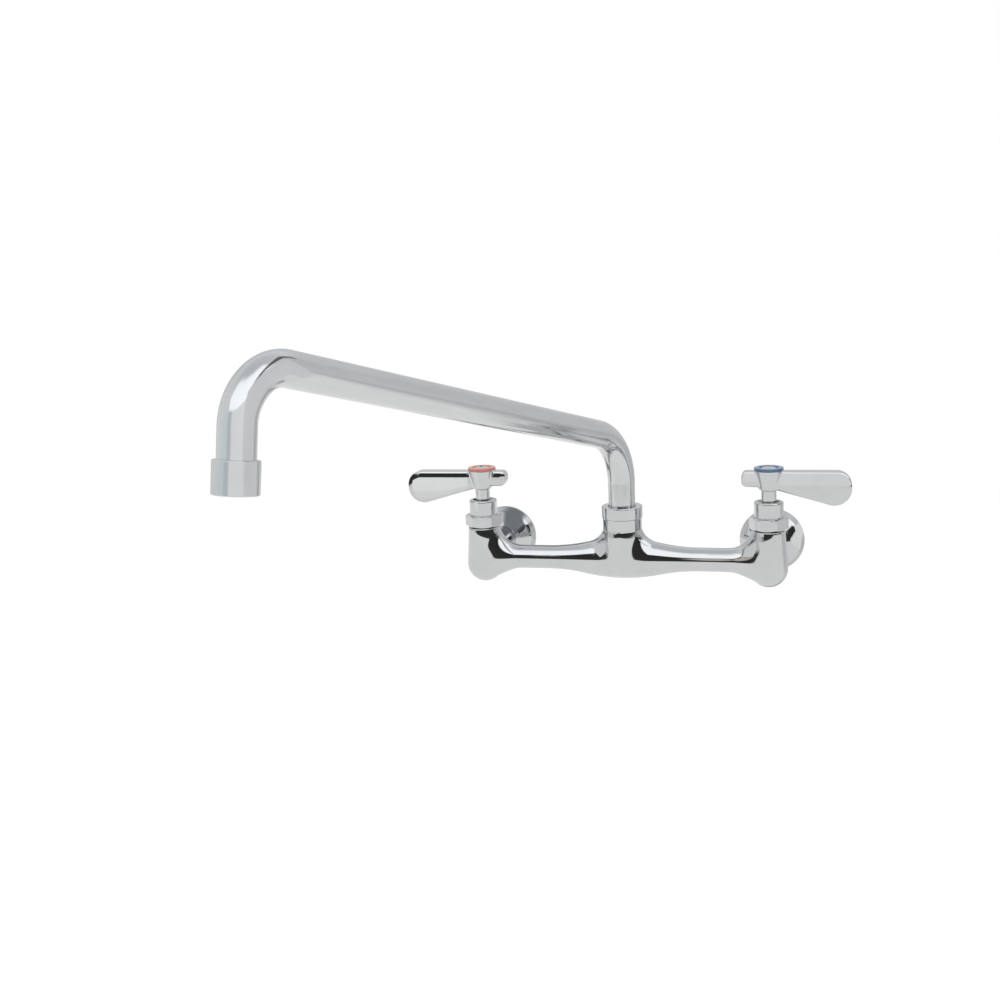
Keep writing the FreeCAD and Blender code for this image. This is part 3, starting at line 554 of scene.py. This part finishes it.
def barField(p, loop):
    # flat bar cut to a side outline, a little thinner beside the hub, with edges rounded to an ellipse
    deep, wide = lever["edge"]
    thinner, reach = lever["waist"]
    half = lever["halfThickness"] - thinner * np.exp(-(p[:, 0] / reach) ** 2)
    a = loopDistance(p[:, 0], p[:, 2], loop) / deep + 1
    b = (np.abs(p[:, 1]) - half) / wide + 1
    return (np.minimum(np.maximum(a, b), 0) + np.hypot(np.maximum(a, 0), np.maximum(b, 0)) - 1) * wide


def leverField(p):
    hub = loopDistance(np.hypot(p[:, 0], p[:, 1]), p[:, 2], hubLoop)
    arms = np.minimum(barField(p, bladeLoop), barField(p, tailLoop))
    return roundUnion(hub, arms, lever["fillet"])


leverSurface = fieldSurface(leverField, lever)
for name, x in sides.items():
    place = (turnAbout("Z", lever["turn"][name]), (x, axisPlane, lever["level"]))
    addPiece("leverHandle" + name, leverSurface, place,
             chromed("lever_handle_" + name.lower(), name.lower() + "_handle"))

indexRing = {"corners": ((2.7, 63.9, 0.1), (10, 63.9, 0.15), (10, 65.9, 0.45), (7.1, 65.9, 0.4),
                         (6.5, 65.1, 0.3), (2.7, 65.1, 0.1)),
             "slot": {"Hot": "index_red", "Cold": "index_blue"}}
for name, x in sides.items():
    addPiece("indexRing" + name, lathe(indexRing["corners"]), (upright, (x, axisPlane, 0)),
             {"finish": name.lower() + "Enamel", "body": name.lower() + "_handle",
              "slot": indexRing["slot"][name], "nodes": ["index_ring_" + name.lower()]})


# spout: bent tube, drawn in its own upright plane as distance out and height

spout = {"radius": 9.51, "wall": 1.2, "swing": 21.5, "reach": 356.6, "slope": 14.0, "foot": 28.05,
         "bendHeight": 54.4, "bend": 40.4, "outletBend": 28.8, "tail": 15.0, "tilt": 8.2,
         "aeratorLength": 16.9, "inAerator": 8.15, "flatten": 0.02, "turns": 112,
         "bendGap": 1.0, "straightGap": 6.0, "fewestRings": 8}


def spoutRuns():
    # straight runs as (length, 0) and bends as (arc length, turn), from foot to end inside the aerator
    slope, tilt = math.radians(spout["slope"]), math.radians(spout["tilt"])
    firstOut = spout["bend"] * (1 - math.sin(slope))
    secondOut = spout["outletBend"] * (math.sin(slope) + math.cos(tilt))
    endsOut = (spout["tail"] + spout["aeratorLength"]) * math.sin(tilt)
    straight = (spout["reach"] - (firstOut + secondOut) - endsOut) / math.cos(slope)
    first, second = slope - math.pi / 2, tilt - math.pi / 2 - slope
    return [(spout["bendHeight"] - spout["foot"], 0), (-first * spout["bend"], first), (straight, 0),
            (-second * spout["outletBend"], second), (spout["tail"] + spout["inAerator"], 0)]


def spoutLine():
    # centre line: heading turns evenly along each bend, place = integral of (cos, sin) of the heading,
    # exact on each run; each row is (out, height, heading, share of the bend's flattening)
    place, heading = np.array([0.0, spout["foot"]]), math.pi / 2
    rows = []
    for length, turn in spoutRuns():
        gap = spout["bendGap"] if turn else spout["straightGap"]
        s = np.linspace(0, 1, max(spout["fewestRings"], int(length / gap)) + 1)
        angle = heading + turn * s
        if turn:
            chord = np.stack([np.sin(angle) - math.sin(heading), math.cos(heading) - np.cos(angle)], -1)
            spot = place + length / turn * chord
        else:
            spot = place + length * s[:, None] * np.array([math.cos(heading), math.sin(heading)])
        bent = np.sin(np.pi * s) ** 2 if turn else np.zeros(len(s))
        rows.append(np.column_stack([spot, angle, bent])[:-1])
        place, heading = spot[-1], heading + turn
    rows.append(np.array([[*place, heading, 0]]))
    return np.concatenate(rows), place, heading


spoutRows, spoutEnd, spoutHeading = spoutLine()
swing = turnAbout("Z", -spout["swing"])


def spoutSurface():
    # ring of radius r round each point of the centre line, a little flat in the bends:
    # out along the outside, back inside
    out, height, heading, bent = spoutRows.T
    angle = ringAngles(spout["turns"])[None, :, None]
    level = np.zeros(len(out))
    centre = np.stack([level, -out, height], -1)[:, None]
    over = np.stack([level, np.sin(heading), np.cos(heading)], -1)[:, None]
    across = np.array([1.0, 0, 0])
    flat = (1 - spout["flatten"] * bent)[:, None, None]
    ring = over * flat * np.sin(angle) + across * (2 - flat) * np.cos(angle)
    normal = over * np.sin(angle) + across * np.cos(angle)
    outside = centre + spout["radius"] * ring
    inside = centre + (spout["radius"] - spout["wall"]) * ring
    return np.concatenate([outside, inside[::-1]]), np.concatenate([normal, -normal[::-1]])


spoutPiece = addPiece("spoutTube", spoutSurface(), (swing, (0, axisPlane, 0)),
                      {"finish": "tubeChrome", "body": "spout", "slot": "spout_chrome",
                       "nodes": ["spout_tube"]})


def addTubeGrain(piece):
    # (x, y) on a ring and the length along the tube, in metres, so that the polish marks run with it
    gaps = np.linalg.norm(np.diff(spoutRows[:, :2], axis=0), axis=1)
    reach = np.concatenate([[0], np.cumsum(gaps)]) * mm
    reach = np.concatenate([reach, reach[::-1]])[:, None]
    grain = carried(np.array([[spout["radius"] * mm]]), reach, spout["turns"])
    attribute = piece.data.attributes.new("tubeGrain", "FLOAT_VECTOR", "POINT")
    attribute.data.foreach_set("vector", grain.astype(np.float32).ravel())


addTubeGrain(spoutPiece)

aerator = {"corners": ((8.2, 0, 0.3), (11.6, 0, 0.8), (11.6, 16.9, 0.8), (9.6, 16.9, 0.2),
                       (9.6, 1.2, 0.1), (8.2, 1.2, 0.2))}
outletDrop = spout["aeratorLength"] - spout["inAerator"]  # from the tube's end to the outlet
outlet = spoutEnd + outletDrop * np.array([math.cos(spoutHeading), math.sin(spoutHeading)])
outletPlace = swing @ np.array([0, -outlet[0], outlet[1]]) + np.array([0, axisPlane, 0])
addPiece("aeratorHousing", lathe(aerator["corners"]), (swing @ turnAbout("X", -spout["tilt"]), outletPlace),
         {"finish": "satinChrome", "body": "spout", "slot": "chrome", "nodes": ["aerator_housing"]})


# solids that keep their own shape get a finish

keptFinish = {
    "handle_screw": "castChrome", "stem": "castChrome", "stem_clip": "screenSteel",
    "aerator_screen": "screenSteel", "spout_sleeve": "rawBrass", "seat_seal": "blackRubber",
    "stem_o_rings": "blackRubber", "spout_o_rings": "blackRubber", "aerator_gasket": "blackRubber",
    "inlet_washer": "redFibre", "bonnet_gasket": "greyFibre", "fixed_disc": "whiteCeramic",
    "rotating_disc": "whiteCeramic", "swivel_washer": "whiteAcetal", "aerator_insert": "whiteAcetal"}
for name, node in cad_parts.items():
    plain = name.removesuffix("_hot").removesuffix("_cold")
    if plain in keptFinish:
        node.data.materials.clear()
        node.data.materials.append(finish[keptFinish[plain]])
print("kept solids dressed")


# room: a pale round table under a soft bright ceiling, with a dark band along the horizon in front

room = {
    "tableLevel": -260.0, "tableRadius": 1700.0, "tableRings": 24, "tableTurns": 96,
    "table": (0.93, 0.93, 0.92), "tableRough": 0.9, "tableLift": 0.2, "tableMirrored": 0.96,
    "diffuse": 0.8, "darkToward": 28.0, "darkEdge": (0.15, 0.4),
    "front": ((-90, 0.9), (-9, 0.9), (-8, 0.04), (24, 0.03), (28, 1.5), (63, 1.45), (75, 0.74), (90, 0.7)),
    "rear": ((-90, 0.9), (-16, 0.9), (-14, 0.74), (22, 0.7), (36, 0.8), (46, 0.9), (65, 0.75), (90, 0.7)),
    "cooler": (-0.035, -0.008, 0.02), "coolest": 40}  # ceiling's tint, in full from this elevation up


def addTable():
    # flat disc, rings of points about the object
    count, turns = room["tableRings"], room["tableTurns"]
    rings = np.linspace(1, room["tableRadius"], count)[:, None]
    points = carried(rings, np.array([[room["tableLevel"]]]), turns) + np.array([0, axisPlane, 0])
    quads = gridQuads(count, turns)[:-turns, ::-1]
    mesh = bpy.data.meshes.new("table")
    mesh.from_pydata((points.reshape(-1, 3) * mm).tolist(), [], quads.tolist() + [list(range(turns))])
    table = bpy.data.objects.new("table", mesh)
    bpy.context.scene.collection.objects.link(table)
    made = bpy.data.materials.new("paleTable")
    made.use_nodes = True
    tree = made.node_tree
    shader = tree.nodes["Principled BSDF"]
    shader.inputs["Base Color"].default_value = (*room["table"], 1)
    shader.inputs["Roughness"].default_value = room["tableRough"]
    shader.inputs["Specular IOR Level"].default_value = 0.0
    # lifted to the background's white for the camera, and the same pale tone all over in the metal
    rays = addNode(tree, "ShaderNodeLightPath").outputs
    lift = calc(tree, "MULTIPLY", rays["Is Camera Ray"], room["tableLift"])
    lift = addNode(tree, "ShaderNodeEmission", {"Strength": lift})
    lit = addNode(tree, "ShaderNodeAddShader", {0: shader.outputs[0], 1: lift.outputs[0]})
    pale = addNode(tree, "ShaderNodeEmission", {"Strength": room["tableMirrored"]})
    mirrored = calc(tree, "MAXIMUM", rays["Is Glossy Ray"], rays["Is Transmission Ray"])
    both = mixShader(tree, mirrored, lit, pale)
    tree.links.new(both.outputs[0], tree.nodes["Material Output"].inputs["Surface"])
    mesh.materials.append(made)


def ceilingRamp(tree, rise, stops):
    # brightness by elevation in degrees, as a colour ramp
    ramp = addNode(tree, "ShaderNodeValToRGB", {"Fac": rise})
    points = ramp.color_ramp.elements
    while len(points) < len(stops):
        points.new(0.5)
    for point, (degrees, value) in zip(points, stops):
        point.position = (degrees + 90) / 180
        tint = min(max(degrees, 0) / room["coolest"], 1)
        point.color = (*(value * (1 + share * tint) for share in room["cooler"]), 1)
    return ramp.outputs["Color"]


def addWorld():
    # brightness by elevation for what the metal mirrors, darker in front,
    # and plain white behind the object for the camera
    world = bpy.data.worlds.new("room")
    bpy.context.scene.world = world
    world.use_nodes = True
    tree = world.node_tree
    tree.nodes.clear()
    view = addNode(tree, "ShaderNodeTexCoord").outputs["Generated"]
    up = addNode(tree, "ShaderNodeSeparateXYZ", {0: view}).outputs["Z"]
    rise = rescale(tree, calc(tree, "ARCSINE", up, 0.0), (-math.pi / 2, math.pi / 2))
    level = addNode(tree, "ShaderNodeVectorMath", {0: view, 1: (1, 1, 0)}, operation="MULTIPLY").outputs[0]
    level = addNode(tree, "ShaderNodeVectorMath", {0: level}, operation="NORMALIZE").outputs[0]
    toward = math.radians(room["darkToward"])
    ahead = (math.sin(toward), -math.cos(toward), 0)
    facing = addNode(tree, "ShaderNodeVectorMath", {0: level, 1: ahead}, operation="DOT_PRODUCT")
    share = rescale(tree, facing.outputs["Value"], room["darkEdge"], blend="SMOOTHSTEP")
    sky = addNode(tree, "ShaderNodeMix", {0: share, 6: ceilingRamp(tree, rise, room["rear"]),
                  7: ceilingRamp(tree, rise, room["front"])}, data_type="RGBA").outputs[2]
    rays = addNode(tree, "ShaderNodeLightPath").outputs
    mirrored = addNode(tree, "ShaderNodeBackground", {"Color": sky, "Strength": 1.0})
    plain = addNode(tree, "ShaderNodeBackground", {"Color": (1, 1, 1, 1), "Strength": room["diffuse"]})
    behind = addNode(tree, "ShaderNodeBackground", {"Color": (1, 1, 1, 1), "Strength": 1.0})
    lit = mixShader(tree, rays["Is Glossy Ray"], plain, mirrored)
    seen = calc(tree, "MAXIMUM", rays["Is Camera Ray"], rays["Is Transmission Ray"])
    whole = mixShader(tree, seen, lit, behind)
    out = addNode(tree, "ShaderNodeOutputWorld")
    tree.links.new(whole.outputs[0], out.inputs["Surface"])


def addGlow(name, points, faces, fade, look):
    # reflector that only metal within its reach mirrors, seen from its front alone
    # and as far as the attribute fade lets it
    mesh = bpy.data.meshes.new(name)
    mesh.from_pydata((points * mm).tolist(), [], faces)
    mesh.attributes.new("fade", "FLOAT", "POINT").data.foreach_set("value", fade.astype(np.float32))
    card = bpy.data.objects.new(name, mesh)
    bpy.context.scene.collection.objects.link(card)
    made = bpy.data.materials.new(name)
    made.use_nodes = True
    tree = made.node_tree
    tree.nodes.clear()
    front = calc(tree, "SUBTRACT", 1.0, addNode(tree, "ShaderNodeNewGeometry").outputs["Backfacing"])
    shown = addNode(tree, "ShaderNodeAttribute", attribute_name="fade").outputs["Fac"]
    solid = calc(tree, "MULTIPLY", front, shown)
    away = addNode(tree, "ShaderNodeLightPath").outputs["Ray Length"]
    near = calc(tree, "LESS_THAN", away, look["reach"] * mm)
    clear = addNode(tree, "ShaderNodeBsdfTransparent")
    glow = addNode(tree, "ShaderNodeEmission", {"Color": (*look["tint"], 1), "Strength": look["glow"]})
    both = mixShader(tree, calc(tree, "MULTIPLY", solid, near), clear, glow)
    out = addNode(tree, "ShaderNodeOutputMaterial")
    tree.links.new(both.outputs[0], out.inputs["Surface"])
    mesh.materials.append(made)
    card.visible_camera = card.visible_diffuse = card.visible_shadow = card.visible_transmission = False


def addCard(name, look):
    # flat card whose front is the side towards the given point; two corners stand for an upright rectangle
    corners = np.array(look["corners"], float)
    if len(corners) == 2:
        (x, y, bottom), (u, v, top) = corners
        corners = np.array([(x, y, bottom), (u, v, bottom), (u, v, top), (x, y, top)])
    order = list(range(len(corners)))
    normal = np.cross(corners[1] - corners[0], corners[2] - corners[1])
    facing = normal @ (np.array(look["toward"]) - corners[0])
    addGlow(name, corners, [order if facing > 0 else order[::-1]], np.ones(len(corners)), look)


def addHood(name, look):
    # shell about an axis along x, open at the back, that fades out towards its edges:
    # fade = smooth(2 - 2 hypot(u, v))
    count = look["grid"]
    line = np.linspace(-1, 1, count)
    u, v = (part.ravel() for part in np.meshgrid(line, line, indexing="ij"))
    low, high = np.radians(look["angles"])
    angle = (low + high) / 2 + v * (high - low) / 2
    x, y, z = look["centre"]
    points = np.stack([x + u * look["halfWidth"], y - look["radius"] * np.cos(angle),
                       z + look["radius"] * np.sin(angle)], -1)
    corner = (np.arange(count - 1)[:, None] * count + np.arange(count - 1)).ravel()
    faces = np.stack([corner, corner + 1, corner + count + 1, corner + count], -1)
    share = np.clip(2 - 2 * np.hypot(u, v), 0, 1)
    addGlow(name, points, faces.tolist(), share * share * (3 - 2 * share), look)


def addLamp(name, look):
    data = bpy.data.lights.new(name, "AREA")
    data.shape, data.size, data.size_y = "RECTANGLE", look["size"][0] * mm, look["size"][1] * mm
    data.energy, data.color = look["watts"], look["colour"]
    lamp = bpy.data.objects.new(name, data)
    place, aim = np.array(look["place"]) * mm, np.array(look["aim"]) * mm
    back = (place - aim) / np.linalg.norm(place - aim)
    side = np.cross([0, 0, 1], back)
    side /= np.linalg.norm(side)
    turn = np.eye(4)
    turn[:3, 0], turn[:3, 1], turn[:3, 2], turn[:3, 3] = side, np.cross(back, side), back, place
    lamp.matrix_world = Matrix(turn.tolist())
    lamp.visible_camera = lamp.visible_glossy = False
    bpy.context.scene.collection.objects.link(lamp)


rightLever, leftLever = (139, -66, 57), (-139, -66, 57)
outletTip, spoutSide = (-122, -400, 140), (0, -250, 140)
cards = {
    "rightLeverPanel": {"corners": ((55, -100, 49), (300, -100, 84)), "toward": rightLever,
                        "tint": (1, 1, 1), "glow": 1.02, "reach": 170},
    "leftLeverPanelLow": {"corners": ((-166, -95, 31), (-113, -95, 31), (-113, -95, 46), (-166, -95, 44)),
                          "toward": leftLever, "tint": (1, 1, 1), "glow": 1.04, "reach": 120},
    "leftLeverPanelHigh": {"corners": ((-166, -95, 44), (-113, -95, 46), (-113, -95, 55), (-166, -95, 55)),
                           "toward": leftLever, "tint": (1, 1, 1), "glow": 1.14, "reach": 120},
    "leverTipFlag": {"corners": ((-172, -125, 50), (-172, -64, 76)), "toward": leftLever,
                     "tint": (0.9, 0.95, 1), "glow": 0.04, "reach": 60},
    "outletPanelLeft": {"corners": ((-200, -440, 90), (-152, -440, 90), (-152, -440, 172),
                                    (-200, -440, 178)),
                        "toward": outletTip, "tint": (0.88, 0.96, 1), "glow": 0.9, "reach": 170},
    "outletPanelMiddle": {"corners": ((-152, -440, 90), (-134, -440, 90), (-134, -440, 168),
                                      (-152, -440, 172)),
                          "toward": outletTip, "tint": (0.9, 0.97, 1), "glow": 0.74, "reach": 170},
    "outletPanelRight": {"corners": ((-134, -440, 90), (-45, -440, 90), (-45, -440, 200), (-100, -440, 174),
                                     (-134, -440, 168)),
                         "toward": outletTip, "tint": (0.97, 0.99, 1), "glow": 1.02, "reach": 170},
    "outletSidePanel": {"corners": ((-60, -440, 80), (-60, -340, 212)), "toward": outletTip,
                        "tint": (0.98, 0.99, 1), "glow": 0.85, "reach": 170},
    "sidePanel": {"corners": ((-500, -900, 20), (-500, -200, 560)), "toward": spoutSide,
                  "tint": (0.97, 0.99, 1), "glow": 0.9, "reach": 2000},
    "wallPanel": {"corners": ((185, -45, -40), (185, 25, 45)), "toward": rightLever,
                  "tint": (1, 1, 1), "glow": 1.05, "reach": 77},
    "backPanelTop": {"corners": ((60, 60, 5), (800, 60, 85)), "toward": spoutSide,
                     "tint": (0.97, 0.99, 1), "glow": 0.64, "reach": 2000},
    "backPanelHigh": {"corners": ((60, 60, -70), (800, 60, 5)), "toward": spoutSide,
                      "tint": (0.98, 0.99, 1), "glow": 0.7, "reach": 2000},
    "backPanelMiddle": {"corners": ((60, 60, -130), (800, 60, -70)), "toward": spoutSide,
                        "tint": (0.99, 1, 1), "glow": 0.8, "reach": 2000},
    "backPanelLow": {"corners": ((240, 60, -210), (800, 60, -130)), "toward": spoutSide,
                     "tint": (1, 1, 1), "glow": 0.88, "reach": 2000},
    "backPanelNear": {"corners": ((60, 60, -230), (240, 60, -130)), "toward": spoutSide,
                      "tint": (0.98, 0.99, 1), "glow": 0.55, "reach": 2000},
    "bendFlag": {"corners": ((-53, -445, 203), (-45, -409, 219), (-47, -371, 234), (-60, -329, 238),
                             (-46, -306, 214), (-56, -304, 236), (-76, -327, 257), (-54, -371, 250),
                             (-43, -409, 233), (-50, -446, 212)),
                 "toward": outletTip, "tint": (0.95, 0.97, 1), "glow": 0.15, "reach": 250},
}
hoods = {
    "tubeGlint": {"centre": (60, -66, 0), "radius": 48, "halfWidth": 21, "angles": (2, 26), "grid": 25,
                  "tint": (1, 0.92, 0.8), "glow": 0.66, "reach": 45},
    "flangeHood": {"centre": (-78, -5, 8), "radius": 48, "halfWidth": 48, "angles": (-25, 150), "grid": 25,
                   "tint": (0.85, 0.93, 1), "glow": 0.3, "reach": 120},
}
softbox = {"size": (1500, 900), "watts": 10.0, "colour": (1, 1, 1), "place": (0, -500, 1300),
           "aim": (0, -150, 60)}
addTable()
addWorld()
for name, look in cards.items():
    addCard(name, look)
for name, look in hoods.items():
    addHood(name, look)
addLamp("ceilingSoftbox", softbox)
print("room lit")
